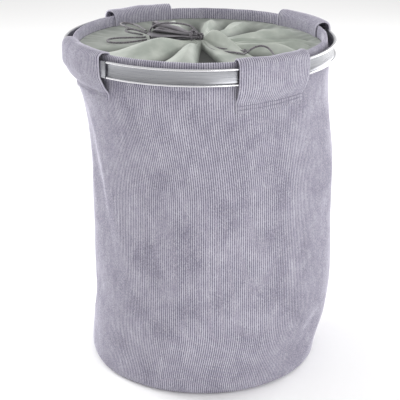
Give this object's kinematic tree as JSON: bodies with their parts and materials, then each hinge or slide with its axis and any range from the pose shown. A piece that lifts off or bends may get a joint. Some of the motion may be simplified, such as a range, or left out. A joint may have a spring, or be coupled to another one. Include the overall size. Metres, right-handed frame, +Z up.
{
  "type": "laundry hamper",
  "caption": "Round free-standing corduroy laundry hamper with a metal carrying hoop held in loops round its mouth and a gathered drawstring cloth closure.",
  "frame": {"origin": "middle of the bottom face that the hamper stands on", "axes": "+Z up along the bag's axis; -Y towards the front; the four loops stand on the diagonals"},
  "size_m": [0.3999, 0.4, 0.5183],
  "materials": {
    "corduroy": "pale lilac-grey polyester corduroy, eight wales to the inch",
    "closure_cloth": "grey-green plain-weave polyester",
    "casing_cloth": "grey gathered casing, slightly shiny",
    "lining_cloth": "grey-green polyester lining",
    "felt": "needle-felt interlining",
    "board": "grey board",
    "binding_tape": "woven tape",
    "drawcord": "round braided polyester cord",
    "hoop_metal": "brushed and clear-lacquered",
    "rivet_metal": "satin"
  },
  "bodies": {
    "bag": {"outer_wall": "corduroy", "wall_interlining": "felt", "wall_lining": "lining_cloth", "side_seam_tape": "lining_cloth", "bottom_panel": "corduroy", "base_board": "board", "bottom_lining": "lining_cloth", "bottom_binding": "binding_tape"},
    "rim": {"collar_hem": "corduroy", "collar_facing": "corduroy", "closure_yoke": "closure_cloth", "loop_front_right": "corduroy", "loop_back_right": "corduroy", "loop_back_left": "corduroy", "loop_front_left": "corduroy"},
    "hoop": {"hoop_channel": "hoop_metal", "hoop_joiner": "hoop_metal", "hoop_rivets": "rivet_metal"},
    "panel_front_right": {"closure_pleat_front_right": "closure_cloth", "drawcord_tail_long": "drawcord", "drawcord_tail_short": "drawcord", "end_knot_long": "drawcord", "end_knot_short": "drawcord"},
    "panel_right": {"closure_pleat_right": "closure_cloth"},
    "panel_back_right": {"closure_pleat_back_right": "closure_cloth"},
    "panel_back": {"closure_pleat_back": "closure_cloth"},
    "panel_back_left": {"closure_pleat_back_left": "closure_cloth"},
    "panel_left": {"closure_pleat_left": "closure_cloth", "neck_casing": "casing_cloth", "neck_tie": "drawcord", "bow_knot": "drawcord", "drawcord_wrap": "drawcord", "bow_loop_low": "drawcord", "bow_loop_high": "drawcord", "bow_loop_mid": "drawcord"},
    "panel_front_left": {"closure_pleat_front_left": "closure_cloth"},
    "panel_front": {"closure_pleat_front": "closure_cloth"}
  },
  "joints": [
    {"name": "rim_lower", "type": "slide", "parent": "bag", "child": "rim", "axis": [0, 0, 1], "range_m": [-0.3, 0], "deforming": ["outer_wall", "wall_interlining", "wall_lining", "side_seam_tape"]},
    {"name": "hoop_turn", "type": "hinge", "parent": "rim", "child": "hoop", "pos_m": [0, 0, 0.488], "axis": [0, 0, 1], "continuous": true},
    {"name": "fold_front_right", "type": "hinge", "parent": "rim", "child": "panel_front_right", "pos_m": [0.12317, -0.10897, 0.485], "axis": [-0.6626, -0.749, 0], "range_deg": [0, 80]},
    {"name": "fold_right", "type": "hinge", "parent": "rim", "child": "panel_right", "pos_m": [0.16414, 0.01004, 0.485], "axis": [0.061, -0.9981, 0], "range_deg": [0, 80]},
    {"name": "fold_back_right", "type": "hinge", "parent": "rim", "child": "panel_back_right", "pos_m": [0.10897, 0.12317, 0.485], "axis": [0.749, -0.6626, 0], "range_deg": [0, 80]},
    {"name": "fold_back", "type": "hinge", "parent": "rim", "child": "panel_back", "pos_m": [0.00669, 0.17032, 0.485], "axis": [0.9992, -0.0393, 0], "range_deg": [0, 80]},
    {"name": "fold_back_left", "type": "hinge", "parent": "rim", "child": "panel_back_left", "pos_m": [-0.08842, 0.14572, 0.485], "axis": [0.8549, 0.5188, 0], "range_deg": [0, 80]},
    {"name": "closure_open", "type": "hinge", "parent": "rim", "child": "panel_left", "pos_m": [-0.14613, 0.02054, 0.485], "axis": [0.1392, 0.9903, 0], "range_deg": [0, 80]},
    {"name": "fold_front_left", "type": "hinge", "parent": "rim", "child": "panel_front_left", "pos_m": [-0.10897, -0.12317, 0.485], "axis": [-0.749, 0.6626, 0], "range_deg": [0, 80]},
    {"name": "fold_front", "type": "hinge", "parent": "rim", "child": "panel_front", "pos_m": [0.01004, -0.16414, 0.485], "axis": [-0.9981, -0.061, 0], "range_deg": [0, 80]}
  ],
  "couplings": [
    {"joint": "fold_front_right", "follows": "closure_open", "ratio": 1},
    {"joint": "fold_right", "follows": "closure_open", "ratio": 1},
    {"joint": "fold_back_right", "follows": "closure_open", "ratio": 1},
    {"joint": "fold_back", "follows": "closure_open", "ratio": 1},
    {"joint": "fold_back_left", "follows": "closure_open", "ratio": 1},
    {"joint": "fold_front_left", "follows": "closure_open", "ratio": 1},
    {"joint": "fold_front", "follows": "closure_open", "ratio": 1}
  ]
}
